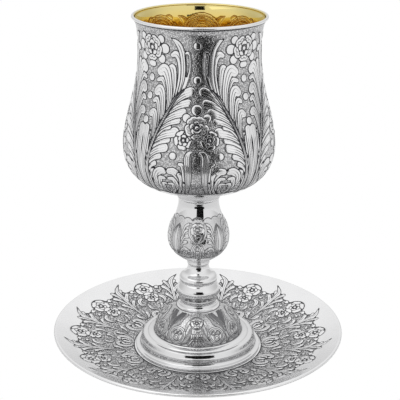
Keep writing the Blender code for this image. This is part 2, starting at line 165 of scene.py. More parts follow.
class Chasing:
    """Strokes drawn on a turned skin, each over the ones before it, repeated and mirrored.

    A place is an angle in degrees from the middle of a repeat, and a station
    in millimetres: the outline's height, or its radius on a flat piece.
    Each shape joins one of three layers, whose borders are kept as signed distances.
    """

    def __init__(self, skin, station_axis=1, repeats=4, turn=0.0):
        outline = skin.outline
        run = np.concatenate([[0.0], np.cumsum(np.linalg.norm(np.diff(outline, axis=0), axis=1))])
        order = np.argsort(outline[:, station_axis], kind="stable")
        self.stations = outline[order, station_axis]
        self.runs, self.radii = run[order], outline[order, 0]
        half_repeat = math.pi / repeats
        angle = np.abs((skin.azimuth - turn + half_repeat) % (2 * half_repeat) - half_repeat)
        self.shape = (len(outline), skin.steps)
        self.angle = np.broadcast_to(angle, self.shape).ravel()
        self.run = np.broadcast_to(run[:, None], self.shape).ravel()
        self.radius = np.broadcast_to(outline[:, :1], self.shape).ravel()
        count = self.run.size
        self.raised = np.ones(count)
        self.layers = np.full((3, count), FAR_FROM_LINES)
        self.field = np.full(count, FAR_FROM_LINES)
        self.veins = np.tile([[0.5], [FAR_FROM_LINES], [0.0]], (1, count))

    def run_of(self, station):
        """How far along the outline a station lies."""
        return np.interp(station, self.stations, self.runs)

    def trace(self, spines):
        """For corners near the spines: distance in or out, side, share along, half width."""
        reach = max(max(widths) for spine, widths in spines) + STROKE_MARGIN
        angles = [np.radians([place[0] for place in spine]) for spine, widths in spines]
        runs = [self.run_of(np.array([place[1] for place in spine])) for spine, widths in spines]
        low_run, high_run = min(r.min() for r in runs) - reach, max(r.max() for r in runs) + reach
        low, high = min(a.min() for a in angles), max(a.max() for a in angles)
        close = (self.run > low_run) & (self.run < high_run)
        close &= (self.angle - low) * self.radius > -reach
        close &= (self.angle - high) * self.radius < reach
        near = np.flatnonzero(close)
        angle, run, radius = self.angle[near], self.run[near], self.radius[near]
        found = [np.full(len(near), np.inf), np.zeros(len(near)), np.zeros(len(near)), np.ones(len(near))]
        for (spine, widths), a, s in zip(spines, angles, runs):
            pieces = len(a) - 1
            for i in range(pieces):
                across, along = (angle - a[i]) * radius, run - s[i]
                step_across, step_along = (a[i + 1] - a[i]) * radius, s[i + 1] - s[i]
                length = step_across ** 2 + step_along ** 2 + 1e-9
                t = np.clip((across * step_across + along * step_along) / length, 0.0, 1.0)
                off_across, off_along = across - t * step_across, along - t * step_along
                distance = np.hypot(off_across, off_along)
                width = widths[i] + (widths[i + 1] - widths[i]) * t
                side = np.sign(step_across * off_along - step_along * off_across) * distance / width
                nearer = distance - width < found[0]
                values = (distance - width, side, (i + t) / pieces, width)
                found = [np.where(nearer, new, old) for new, old in zip(values, found)]
        return near, *found

    def paint(self, spines, low=0.6, high=1.0, dome=0.35, veins=0, vein_end=0.75, hollow=0.0, rim=0.0):
        """One shape: the union of its spines, domed across and rising from low to high along it.

        Its lines run along it, or round it at every rim millimetres in from its border.
        """
        near, distance, side, along, width = self.trace(spines)
        inside, beside = distance < 0, (distance > 0) & (distance < LAP_REACH)
        lapped = [np.count_nonzero(layer[near[beside]] < 0.1) for layer in self.layers]
        own = int(np.argmin(lapped))
        for k, layer in enumerate(self.layers):
            layer[near] = np.maximum(layer[near], -distance)
            if k == own:
                layer[near] = np.minimum(layer[near], distance)
        within = near[inside]
        side, along, width = side[inside], along[inside], width[inside]
        crown = 1 - dome + dome * np.sqrt(np.clip(1 - side ** 2, 0, 1))
        self.raised[within] = (low + (high - low) * along) * crown
        fade = np.clip((vein_end - along) * VEIN_FADE, 0.0, 1.0) if veins else 0.0
        self.veins[0, within] = (side + 1) / 2 * (veins + 1) if veins else 0.5
        self.veins[1, within] = FAR_FROM_LINES + (2 * width / (veins + 1) - FAR_FROM_LINES) * fade
        self.veins[2, within] = hollow
        if rim:
            self.veins[0, within] = -distance[inside] / rim
            self.veins[1, within] = rim

    def ground(self, low, high, bites=()):
        """The matted field between two stations, with a scalloped edge where bites are given."""
        ends = sorted((self.run_of(low), self.run_of(high)))
        distance = np.maximum(ends[0] - self.run, self.run - ends[1])
        for angle, station, size in bites:
            across = (self.angle - math.radians(angle)) * self.radius
            distance = np.minimum(distance, np.hypot(across, self.run - self.run_of(station)) - size)
        self.field = distance
        sunk = distance < 0
        self.raised[sunk] = np.clip(1.0 + distance[sunk] / GROUND_BEVEL, 0.0, 1.0)

    def frond(self, places, widths, **looks):
        """A leaf along a smooth curve through places, from stem to head."""
        run = smooth_run(np.column_stack([places, widths]))
        self.paint([(run[:, :2], np.maximum(run[:, 2], NARROWEST_STROKE))], **looks)

    def moved(self, place, across, along):
        """A place moved by millimetres across and along the outline."""
        radius = np.interp(place[1], self.stations, self.radii)
        ahead = self.run_of(place[1] + 1.0) - self.run_of(place[1] - 1.0)
        return place[0] + math.degrees(across / radius), place[1] + along * 2.0 / ahead

    def pearl(self, place, radius, **looks):
        """A round polished boss."""
        looks = {"low": 1.0, "high": 1.0, "dome": 0.75} | looks
        self.paint([([place, (place[0], place[1] + 0.01)], [radius, radius])], **looks)

    def flower(self, place, radius, turn=0.0, rings=2, heart=0.28):
        """A rose: rings of broad petals, each lapped over the one before, about a dark heart."""
        for ring in range(rings):
            reach = radius * RING_SHRINK ** ring
            size = PETAL_SHARE * reach * math.sin(math.pi / PETALS)
            lobe, fork = (LOBE_SHARE * size, LOBE_LEAN * size / reach) if ring == 0 else (size, 0.0)
            rim = CONTOUR_GAP * size if size > LINED_PETAL else 0.0
            length = reach - lobe
            for k in range(PETALS):
                angle = turn + 2 * math.pi * (k + 0.5 * ring) / PETALS
                near = INNER_SHARE * reach
                inner = self.moved(place, near * math.sin(angle), -near * math.cos(angle))
                spines = []
                for lean in (angle - fork, angle + fork):
                    outer = self.moved(place, length * math.sin(lean), -length * math.cos(lean))
                    spines.append(([inner, outer], [0.8 * lobe, lobe]))
                self.paint(spines, low=0.7, high=1.0, dome=0.3, rim=rim)
        self.pearl(place, heart * radius, low=0.8, high=0.8, hollow=0.9)
        self.pearl(place, 0.62 * heart * radius, dome=0.4)

    def emboss(self, skin, depth, groove, edge=0.0):
        """Sinks the ground, the outlines and the ground's edge, and returns the corner attributes."""
        ground_edge = np.maximum(np.abs(self.field), COVERED * self.layers.min(axis=0))
        line = np.minimum(np.abs(self.layers).min(axis=0), ground_edge)
        cut = groove * np.clip(1 - line / LINE_BEVEL, 0, 1)
        cut = cut + edge * np.clip(1 - ground_edge / EDGE_BEVEL, 0, 1)
        skin.shift = -(depth * (1 - self.raised) + cut).reshape(self.shape)
        return {"layers": self.layers.T, "veins": self.veins.T, "field": self.field}


FIELD_LINE_AND_STEP_SHADE = 0.65  # the ground's edge counts as this much nearer, so its dark line is wider: patina in its groove, widened as painted shade of the step there
VEIN_MARGIN, VEIN_EDGE = 0.18, 6.0  # veins start this far inside a border, and how sharply
MATTING_EDGE = 12.0  # how sharply the punched ground starts
HIDDEN_HOLLOW = 1.5  # a hollow above this is the far value of the hidden side
PUNCH_GAP, PUNCH_EDGE = 0.2, 2.6  # the bright middle of a punch mark, and how sharply it ends
GROUND_ROUGH, LINE_ROUGH = 0.07, 0.25  # roughness added by punching and by the patina in lines
PUNCH_DEPTH, LINE_DEPTH = 0.03, 0.08  # in millimetres
CLOUD_SCALE, CLOUD_DETAIL = 90.0, 3.0  # soft clouds of tarnish


def chased_finish_group():
    """Colour, roughness and height of chased silver, from the borders and veins on its corners."""
    group = bpy.data.node_groups.new("chased finish", "ShaderNodeTree")
    usual = {"Line Width": 0.27, "Vein Width": 0.19, "Patina": 0.95, "Vein Patina": 0.8,
             "Matting Dark": 0.58, "Punch Scale": 1350.0, "Polish": 0.16, "Tarnish": 0.1,
             "Metal": (0.9, 0.9, 0.91, 1.0), "Oxide And Shade": (0.05, 0.05, 0.055, 1.0)}
    for label, value in usual.items():
        kind = "NodeSocketColor" if isinstance(value, tuple) else "NodeSocketFloat"
        group.interface.new_socket(label, in_out="INPUT", socket_type=kind).default_value = value
    for label, kind in (("Color", "NodeSocketColor"), ("Roughness", "NodeSocketFloat"),
                        ("Height", "NodeSocketFloat")):
        group.interface.new_socket(label, in_out="OUTPUT", socket_type=kind)
    nodes, links = group.nodes, group.links
    given, result = nodes.new("NodeGroupInput"), nodes.new("NodeGroupOutput")

    def attribute(label, parts=False):
        """A value kept on the corners, or its three parts."""
        node = nodes.new("ShaderNodeAttribute")
        node.attribute_name = label
        if not parts:
            return node.outputs["Fac"]
        split = nodes.new("ShaderNodeSeparateXYZ")
        links.new(node.outputs["Vector"], split.inputs["Vector"])
        return split.outputs

    def maths(operation, first, second=0.0, clamp=False):
        """The outcome of a sum on sockets or plain numbers."""
        node = nodes.new("ShaderNodeMath")
        node.operation = operation
        node.use_clamp = clamp
        for socket, value in zip(node.inputs, (first, second)):
            if isinstance(value, bpy.types.NodeSocket):
                links.new(value, socket)
            else:
                socket.default_value = value
        return node.outputs[0]

    def on_line(distance, width):
        """1 within about half the width of a line, 0 beyond it."""
        return maths("MULTIPLY", maths("SUBTRACT", 1.0, maths("DIVIDE", distance, width)), 2.0, clamp=True)

    layers, veins = attribute("layers", parts=True), attribute("veins", parts=True)
    field = attribute("field")
    bare = maths("MINIMUM", layers["X"], maths("MINIMUM", layers["Y"], layers["Z"]))
    # The ground's edge gets a wider dark line, partly patina and partly painted shade of its step.
    near = maths("MAXIMUM", maths("MULTIPLY", maths("ABSOLUTE", field), FIELD_LINE_AND_STEP_SHADE),
                 maths("MULTIPLY", bare, COVERED))
    for layer in layers:
        near = maths("MINIMUM", near, maths("ABSOLUTE", layer))
    line = on_line(near, given.outputs["Line Width"])
    off_vein = maths("SUBTRACT", veins["X"], maths("ROUND", veins["X"]))
    to_vein = maths("MULTIPLY", maths("ABSOLUTE", off_vein), veins["Y"])
    inner = maths("MULTIPLY", maths("SUBTRACT", near, VEIN_MARGIN), VEIN_EDGE, clamp=True)
    vein = maths("MULTIPLY", on_line(to_vein, given.outputs["Vein Width"]), inner)
    matting = maths("MULTIPLY", maths("MULTIPLY", bare, MATTING_EDGE, clamp=True),
                    maths("LESS_THAN", field, 0.0))
    hollow = maths("MULTIPLY", veins["Z"], maths("LESS_THAN", veins["Z"], HIDDEN_HOLLOW), clamp=True)
    matting = maths("MAXIMUM", matting, hollow)
    place = nodes.new("ShaderNodeTexCoord")
    punches = nodes.new("ShaderNodeTexVoronoi")
    links.new(place.outputs["Object"], punches.inputs["Vector"])
    links.new(given.outputs["Punch Scale"], punches.inputs["Scale"])
    off_punch = maths("SUBTRACT", punches.outputs["Distance"], PUNCH_GAP)
    gaps = maths("MULTIPLY", off_punch, PUNCH_EDGE, clamp=True)
    clouds = nodes.new("ShaderNodeTexNoise")
    clouds.inputs["Scale"].default_value = CLOUD_SCALE
    clouds.inputs["Detail"].default_value = CLOUD_DETAIL
    links.new(place.outputs["Object"], clouds.inputs["Vector"])
    # Lines and veins darken towards the dark colour: oxide on silver, painted shade on the gold.
    lines = maths("MAXIMUM", maths("MULTIPLY", line, given.outputs["Patina"]),
                  maths("MULTIPLY", vein, given.outputs["Vein Patina"]))
    punched = maths("MULTIPLY", matting, gaps)
    ground_dark = maths("MULTIPLY", punched, given.outputs["Matting Dark"])
    shade = maths("MAXIMUM", lines, ground_dark)
    film = maths("MULTIPLY", clouds.outputs["Fac"], given.outputs["Tarnish"])
    shade = maths("ADD", shade, film, clamp=True)
    colour = nodes.new("ShaderNodeMix")
    colour.data_type = "RGBA"
    links.new(shade, colour.inputs["Factor"])
    links.new(given.outputs["Metal"], colour.inputs["A"])
    links.new(given.outputs["Oxide And Shade"], colour.inputs["B"])
    links.new(colour.outputs["Result"], result.inputs["Color"])
    rough = maths("ADD", given.outputs["Polish"], maths("MULTIPLY", matting, GROUND_ROUGH))
    rough = maths("ADD", rough, maths("MULTIPLY", lines, LINE_ROUGH), clamp=True)
    links.new(rough, result.inputs["Roughness"])
    height = maths("ADD", maths("MULTIPLY", punched, -PUNCH_DEPTH), maths("MULTIPLY", lines, -LINE_DEPTH))
    links.new(height, result.inputs["Height"])
    return group


CHASED_FINISH = chased_finish_group()


def blank_material(name, metallic):
    """A material with its nodes, its links and its shader."""
    material = bpy.data.materials.new(name)
    material.use_nodes = True
    nodes = material.node_tree.nodes
    nodes["Principled BSDF"].inputs["Metallic"].default_value = metallic
    return material, nodes, material.node_tree.links, nodes["Principled BSDF"]


def chased_metal(name, metal, oxide_and_shade, **settings):
    """A metal with darkened lines and a punched ground: oxide in the lines of silver, painted shade in
    those of the gold. Settings are the finish group's values.
    """
    material, nodes, links, shader = blank_material(name, metallic=1.0)
    finish = nodes.new("ShaderNodeGroup")
    finish.node_tree = CHASED_FINISH
    finish.inputs["Metal"].default_value = (*metal, 1.0)
    finish.inputs["Oxide And Shade"].default_value = (*oxide_and_shade, 1.0)
    for label, value in settings.items():
        finish.inputs[label.replace("_", " ").title()].default_value = value
    links.new(finish.outputs["Color"], shader.inputs["Base Color"])
    links.new(finish.outputs["Roughness"], shader.inputs["Roughness"])
    bump = nodes.new("ShaderNodeBump")
    bump.inputs["Distance"].default_value = MM
    links.new(finish.outputs["Height"], bump.inputs["Height"])
    links.new(bump.outputs["Normal"], shader.inputs["Normal"])
    return material


SILVER = (0.88, 0.88, 0.885)
OXIDE = (0.035, 0.035, 0.04)
SPUN_SILVER = (0.77, 0.77, 0.775)
saucer_low, saucer_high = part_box("saucer")
SAUCER_RADIUS = min(-saucer_low.x, -saucer_low.y, saucer_high.x, saucer_high.y) / MM
SAUCER_HEIGHT = saucer_high.z / MM
SHEET = 0.9  # thickness of the silver
SAUCER_BASE = 31.0  # radius of the flat floor
CHASED_EDGE = 61.6  # where the dish ends and the plain border starts
SLOPE_IN, SLOPE_OUT = 0.14, 0.335  # the dish grows steeper from its floor to its edge
RING_GAP = 0.42  # between the rings that carry the chasing
EDGE_BEAD = 0.8 * SHEET  # radius of the rolled edge

dish_radii = np.arange(SAUCER_BASE, CHASED_EDGE, RING_GAP)
reach = dish_radii - SAUCER_BASE
steepening = (SLOPE_OUT - SLOPE_IN) / (2 * (CHASED_EDGE - SAUCER_BASE))
dish = np.column_stack([dish_radii, SHEET + SLOPE_IN * reach + steepening * reach ** 2])
saucer_rim = arc_run((SAUCER_RADIUS - EDGE_BEAD, SAUCER_HEIGHT - EDGE_BEAD), EDGE_BEAD, 100.0, -90.0, 10)
border = smooth_run([dish[-1], saucer_rim[0]], spacing=0.6)[1:-1]
saucer_floor = [(radius, SHEET) for radius in (CENTRE, 8.0, 16.0, 24.0, 29.0, 30.4)]
saucer_top = np.vstack([saucer_floor, dish, border, saucer_rim])
saucer_underside = [(66.0, 8.7), (61.0, 7.0), (52.0, 4.0), (42.0, 1.6), (34.0, 0.4),
                    (SAUCER_BASE, 0.0), (CENTRE, 0.0)]
saucer_skin = TurnedSkin(saucer_top, steps=600, hidden=saucer_underside)


def draw_saucer(work):
    """Flowers over a shell at every 30 degrees from the front, and a plume of leaves between them."""
    flowers = np.arange(0.0, 181.0, 30.0)
    plumes = np.arange(15.0, 180.0, 30.0)
    scallops = [(axis, 57.0, 5.4) for axis in flowers] + [(axis, 56.8, 4.4) for axis in plumes]
    work.ground(31.2, 58.2, bites=scallops)
    leaves = [
        (((0.6, 31.6), (5.6, 32.6), (7.8, 35.6), (6.4, 38.6), (3.4, 39.2), (2.6, 37.6)),
         (0.6, 0.9, 1.15, 1.15, 0.9, 0.6), 2),
        (((0.8, 32.8), (3.4, 33.8), (4.4, 35.8), (2.6, 37.0)), (0.5, 0.7, 0.7, 0.6), 1),
        (((1.6, 41.0), (4.0, 42.2), (4.6, 44.6)), (0.4, 0.7, 0.8), 1),
        (((7.0, 45.2), (8.6, 47.2), (7.8, 50.0), (5.6, 51.0)), (0.3, 0.8, 1.1, 0.8), 1),
        (((14.2, 36.4), (11.4, 38.2), (10.6, 40.6)), (0.4, 0.8, 0.9), 1),
        (((14.6, 44.2), (13.0, 48.8), (11.0, 51.2)), (0.4, 0.8, 1.0), 1),
        (((14.6, 48.6), (13.2, 54.2), (10.8, 57.2)), (0.4, 0.9, 1.1), 1),
        (((14.8, 52.6), (13.8, 58.0), (12.4, 60.8)), (0.4, 0.8, 0.9), 1)]
    for axis in flowers:
        for side in (-1, 1):
            for places, widths, veins in leaves:
                leaf = [(axis + side * angle, radius) for angle, radius in places]
                work.frond(leaf, widths, veins=veins, vein_end=0.9)
            work.pearl((axis + side * 7.2, 57.6), 1.2, dome=0.3)
            work.pearl((axis + side * 7.4, 54.0), 0.9, dome=0.3)
        work.frond([(axis, 32.0), (axis, 34.2), (axis, 36.0)], [0.4, 0.7, 0.8])
        work.flower((axis + 1.2, 50.6), 3.9, turn=0.6)
        work.flower((axis, 57.4), 5.0)
    for axis in plumes:
        plume = [(axis, 36.6), (axis, 46.0), (axis + 0.6, 56.0), (axis + 0.8, 61.0), (axis + 4.6, 65.2)]
        work.frond(plume, [0.4, 0.7, 0.95, 1.1, 0.1], veins=1, vein_end=0.9)


saucer_work = Chasing(saucer_skin, station_axis=0, repeats=1)
draw_saucer(saucer_work)
saucer_relief = saucer_work.emboss(saucer_skin, depth=0.46, groove=0.09, edge=0.24)
saucer = saucer_skin.build("saucer_chased", saucer_relief)
saucer.data.materials.append(chased_metal("chased silver of the saucer", SILVER, OXIDE, line_width=0.24,
                                          vein_width=0.15, patina=0.92, matting_dark=0.8))
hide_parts("saucer")
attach(saucer, "root")


# Foot
# Spun from one disc of silver: a chased dome on plain mouldings and a flange, with a
# polished neck on top where the stem is soldered on.

PATTERN_TURN = math.radians(-2.0)  # the cup stands turned a little from its saucer
foot_low, foot_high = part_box("foot")
FOOT_BASE = foot_low.z / MM
FOOT_TOP = foot_high.z / MM
FOOT_RADIUS = foot_high.x / MM

neck = smooth_run([(8.6, FOOT_TOP), (8.8, 23.0), (9.5, 22.2), (11.0, 21.8)], spacing=0.35)
dome = smooth_run([(11.0, 21.8), (13.6, 20.2), (16.5, 17.9), (19.0, 15.2), (20.8, 12.2), (21.5, 8.9)],
                  spacing=0.3)
foot_step = [(21.7, 8.6), (22.0, 8.45), (23.7, 8.3), (24.1, 8.15), (24.3, 7.9), (24.5, 7.72)]
moulding = [(24.9, 7.76), (25.7, 7.75), (26.2, 7.7), (26.45, 7.6), (26.62, 7.45), (26.72, 7.2),
            (26.86, 6.85), (26.99, 6.5), (27.12, 6.15), (27.25, 5.85), (27.45, 5.62), (27.6, 5.42)]
cove = smooth_run([(27.6, 5.2), (27.45, 4.6), (27.6, 3.6), (28.0, 2.6), (28.6, 2.15), (29.8, 2.05)],
                  spacing=0.3)
flange = [(FOOT_RADIUS - 0.1, 1.98), (FOOT_RADIUS, 1.8), (FOOT_RADIUS, FOOT_BASE + 0.1),
          (FOOT_RADIUS - 0.1, FOOT_BASE)]
foot_outline = np.vstack([[(CENTRE, FOOT_TOP), (7.0, FOOT_TOP), (8.4, FOOT_TOP)], neck, dome[1:],
                          foot_step, moulding, cove, flange, [(20.0, FOOT_BASE), (CENTRE, FOOT_BASE)]])
foot_skin = TurnedSkin(foot_outline, steps=320)


def draw_foot(work):
    """Half a repeat: a rosette over a fan, a shell of nested curls, and half a lens of fine lines."""
    work.ground(9.1, 21.9)
    for angle in (52.8, 51.0, 49.2, 47.4, 45.6, 43.8, 42.0):
        work.frond([(angle + 1.0, 9.4), (angle + 2.0, 13.6), (angle - 3.0, 17.4), (angle - 15.0, 21.4)],
                   [0.34, 0.36, 0.32, 0.2], low=0.7, high=0.7, dome=0.1)
    work.frond([(33.0, 9.7), (38.5, 11.6), (40.4, 14.0), (38.0, 16.6), (30.5, 18.0), (28.0, 19.6),
                (21.0, 21.2)], [0.4, 0.6, 0.8, 0.8, 0.7, 0.6, 0.4], veins=2, vein_end=1.1)
    for radius in (4.3, 3.5, 2.8):
        work.pearl((27.8, 13.6), radius, low=0.8, high=0.8, dome=0.1)
    for angle, height, size in ((31.4, 14.5, 1.1), (24.4, 14.7, 1.1), (28.0, 12.7, 1.45)):
        for radius in (size, 0.5 * size):
            work.pearl((angle, height), radius, low=0.9, high=0.9, dome=0.15)
    work.frond([(9.0, 16.6), (11.0, 13.8), (14.5, 11.4), (20.5, 9.9)], [0.5, 0.9, 1.0, 0.5],
               veins=3, vein_end=1.1)
    for angle in (10.0, 5.0, 0.0):
        work.frond([(angle, 9.8), (0.8 * angle, 11.0), (0.5 * angle, 12.4)], [0.4, 0.5, 0.4],
                   low=0.5, high=0.5)
    for angle in (6.6, 4.0, 1.4):
        work.frond([(angle, 13.0), (angle + 0.2, 14.4)], [0.4, 0.5])
    work.frond([(17.0, 15.8), (16.0, 17.6), (13.0, 19.4)], [0.4, 0.7, 0.5], veins=1)
    work.pearl((0.0, 18.8), 3.3, low=0.7, high=0.7, dome=0.1)
    work.flower((0.0, 18.8), 2.9, turn=math.pi, heart=0.3)


foot_work = Chasing(foot_skin, turn=PATTERN_TURN)
draw_foot(foot_work)
foot = foot_skin.build("foot_chased", foot_work.emboss(foot_skin, depth=0.3, groove=0.05))
foot.data.materials.append(chased_metal("chased silver of the foot", SPUN_SILVER, OXIDE, line_width=0.2,
                                        vein_width=0.15, patina=0.82, matting_dark=0.3, polish=0.1))
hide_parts("foot")
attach(foot, "root")


# Lower stem
# A bell and a round bulb turned in plain silver and mirror polished, soldered between
# the neck of the foot and the bead under the knop.

stem_low, stem_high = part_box("stem")
STEM_BASE = stem_low.z / MM
STEM_TOP = stem_high.z / MM
WAIST_RADIUS = 4.9

bell = smooth_run([(WAIST_RADIUS, STEM_TOP), (5.3, 41.0), (6.6, 39.0), (8.4, 37.8), (9.1, 36.6),
                   (8.95, 35.1)], spacing=0.3)
groove = [(8.7, 34.75), (8.5, 34.55), (8.5, 34.3), (8.7, 34.1)]
bulb = smooth_run([(9.1, 33.6), (10.1, 31.6), (10.2, 29.6), (9.4, 27.0), (8.7, 25.4), (8.6, STEM_BASE)],
                  spacing=0.3)
stem_outline = np.vstack([[(CENTRE, STEM_TOP)], bell, groove, bulb, [(CENTRE, STEM_BASE)]])
stem_skin = TurnedSkin(stem_outline, steps=160)


def ranged(tree, value, start, end, low, high, interpolation="LINEAR"):
    """Low where a value is at its start, high at its end, and between the two on the way."""
    node = tree.nodes.new("ShaderNodeMapRange")
    node.interpolation_type = interpolation
    for label, number in (("From Min", start), ("From Max", end), ("To Min", low), ("To Max", high)):
        node.inputs[label].default_value = number
    tree.links.new(value, node.inputs["Value"])
    return node.outputs["Result"]


def polished_silver(name):
    """Mirror silver, faintly clouded by use."""
    material, nodes, links, shader = blank_material(name, metallic=1.0)
    place = nodes.new("ShaderNodeTexCoord")
    clouds = nodes.new("ShaderNodeTexNoise")
    clouds.inputs["Scale"].default_value = 140.0
    links.new(place.outputs["Object"], clouds.inputs["Vector"])
    tone = nodes.new("ShaderNodeValToRGB")
    tone.color_ramp.elements[0].color = (0.70, 0.70, 0.705, 1.0)
    tone.color_ramp.elements[1].color = (0.84, 0.84, 0.845, 1.0)
    links.new(clouds.outputs["Fac"], tone.inputs["Fac"])
    links.new(tone.outputs["Color"], shader.inputs["Base Color"])
    rough = ranged(material.node_tree, clouds.outputs["Fac"], 0.0, 1.0, low=0.05, high=0.13)
    links.new(rough, shader.inputs["Roughness"])
    return material


stem = stem_skin.build("stem_polished")
stem.data.materials.append(polished_silver("polished silver"))
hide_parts("stem")
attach(stem, "root")


# Knop
# A baluster of spun silver, plain and polished above a scalloped line and chased below
# it with four rosettes and four tall arched leaves. A thin collar carries the bowl.

knop_low, knop_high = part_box("knop")
KNOP_BASE = knop_low.z / MM
KNOP_TOP = knop_high.z / MM
collar_edge = arc_run((9.45, 77.5), 0.55, 70.0, -70.0, 8)
baluster = smooth_run([(9.5, 76.6), (9.6, 73.8), (10.6, 69.8), (12.3, 66.4), (13.9, 62.8), (14.7, 58.2),
                       (14.1, 53.8), (11.7, 50.1), (8.4, 47.4), (6.2, 46.0), (5.0, 45.3)], spacing=0.28)
waist_bead = arc_run((WAIST_RADIUS - 0.5, KNOP_BASE + 1.1), 1.0, 55.0, -60.0, 8)
knop_cap = [(CENTRE, KNOP_TOP), (5.0, KNOP_TOP), (8.2, KNOP_TOP - 0.05), (8.9, 78.6)]
knop_outline = np.vstack([knop_cap, collar_edge, baluster, waist_bead,
                          [(4.6, KNOP_BASE), (CENTRE, KNOP_BASE)]])
knop_skin = TurnedSkin(knop_outline, steps=288)
SIDE = 45.0  # where a pattern that repeats four times is mirrored, beside its front


def draw_knop(work):
    """Half a repeat: a rosette over two curved leaves in front, and a nested arch at the side."""
    work.ground(50.6, 68.9, bites=[(0.0, 67.5, 3.0), (25.0, 67.8, 2.4), (45.0, 67.6, 2.7)])
    for share in (1.0, 0.8, 0.58, 0.3):
        spine = [(SIDE, 52.4), (SIDE, 55.0), (SIDE, 59.0), (SIDE, 63.0), (SIDE, 66.8 - 1.4 * (1 - share))]
        widths = [1.2 * share, 2.6 * share, 3.4 * share, 2.6 * share, 0.2]
        level = 1.2 - 0.5 * share
        work.frond(spine, widths, low=level, high=level, dome=0.4)
    work.frond([(34.0, 52.0), (31.0, 54.6), (24.0, 55.9), (17.0, 55.0)], [0.4, 0.7, 0.8, 0.8], veins=1)
    work.frond([(27.0, 51.4), (24.0, 53.2), (18.0, 53.2)], [0.4, 0.6, 0.7])
    work.frond([(32.0, 56.0), (28.0, 58.4), (22.0, 59.2)], [0.4, 0.7, 0.9], veins=1)
    work.frond([(32.4, 58.0), (27.0, 61.4), (19.0, 62.2)], [0.4, 0.8, 1.05], veins=1)
    work.frond([(32.0, 60.0), (28.0, 63.4), (22.6, 64.6)], [0.4, 0.6, 0.7])
    work.frond([(32.0, 62.0), (28.0, 66.0), (20.6, 67.2)], [0.3, 0.6, 0.7])
    work.flower((16.5, 53.2), 2.0, rings=1, heart=0.4)
    work.pearl((0.0, 54.0), 1.1, dome=0.3)
    for outer in (7.4, 11.4):
        work.frond([(0.0, 58.4), (0.5 * outer, 57.4), (0.9 * outer, 54.6), (outer, 51.0)],
                   [0.4, 0.75, 0.75, 0.6], veins=1, vein_end=1.1)
    for across in (-1, 1):
        work.pearl((26.4 + 1.6 * across, 60.4 - 1.6 * across), 0.22, low=0.2, high=0.2, hollow=1.0)
    work.frond([(16.0, 67.4), (15.0, 63.6), (8.0, 60.6), (1.0, 58.8)], [0.5, 0.9, 0.8, 0.3], veins=1)
    work.flower((0.0, 65.0), 3.5, turn=math.pi, heart=0.34)


knop_work = Chasing(knop_skin, turn=PATTERN_TURN)
draw_knop(knop_work)
knop = knop_skin.build("knop_chased", knop_work.emboss(knop_skin, depth=0.22, groove=0.05))
knop.data.materials.append(chased_metal("chased silver of the knop", SPUN_SILVER, OXIDE, line_width=0.18,
                                        vein_width=0.13, patina=0.74, matting_dark=0.16, polish=0.07))
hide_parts("knop")
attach(knop, "root")


# Bowl
# Raised from silver sheet into a tulip shape, its lip rolled over a wire, and chased all
# round with four mirrored pairs of acanthus sprays, flowers, shells and columns of pearls.

bowl_low, bowl_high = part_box("bowl")
BOWL_BASE = bowl_low.z / MM
LIP_TOP = bowl_high.z / MM
LIP_RADIUS = 30.6
LIP_BEAD = 0.65
LIP_MIDDLE = (LIP_RADIUS - LIP_BEAD, LIP_TOP - LIP_BEAD)
GROUND_LOW, GROUND_TOP = 88.0, 160.9  # the chased ground's lower and upper edge
SKIN_DEPTH = 0.75  # how far in from the outside the skin's hidden side lies

bowl_wall = smooth_run([(29.9, 161.1), (28.8, 158.4), (28.1, 153.8), (27.9, 148.0), (28.3, 139.6),
                        (30.2, 128.4), (33.1, 116.9), (34.9, 107.7), (35.1, 101.6), (34.1, 96.1),
                        (31.1, 90.4), (25.4, 85.8), (17.2, 82.6), (8.8, 80.3)], spacing=0.54)
lip = arc_run(LIP_MIDDLE, LIP_BEAD, 200.0, -70.0, 12)
bowl_outline = np.vstack([lip, bowl_wall, [(8.0, BOWL_BASE), (4.0, BOWL_BASE), (CENTRE, BOWL_BASE)]])
hidden_wall = (bowl_wall - SKIN_DEPTH * outward_of(bowl_wall))[3::6][-2::-1]
hidden_base = [(CENTRE, BOWL_BASE + 0.7), (7.5, BOWL_BASE + 0.7)]
bowl_skin = TurnedSkin(bowl_outline, steps=480, hidden=[*hidden_base, *hidden_wall])

# The rib of an acanthus spray, angles and heights from the bottom of the bowl upwards.
RIB = np.array([(39.6, 89.0), (39.6, 95.0), (39.2, 100.0), (37.8, 105.5), (36.0, 110.0), (33.6, 114.5),
                (30.6, 118.6), (27.2, 122.6), (23.6, 126.4), (19.6, 130.0), (15.4, 133.2), (11.4, 135.4)])


def on_rib(height, inwards=0.0):
    """A place on the rib of the spray at a height, moved off it by degrees."""
    return np.interp(height, RIB[:, 1], RIB[:, 0]) - inwards, height


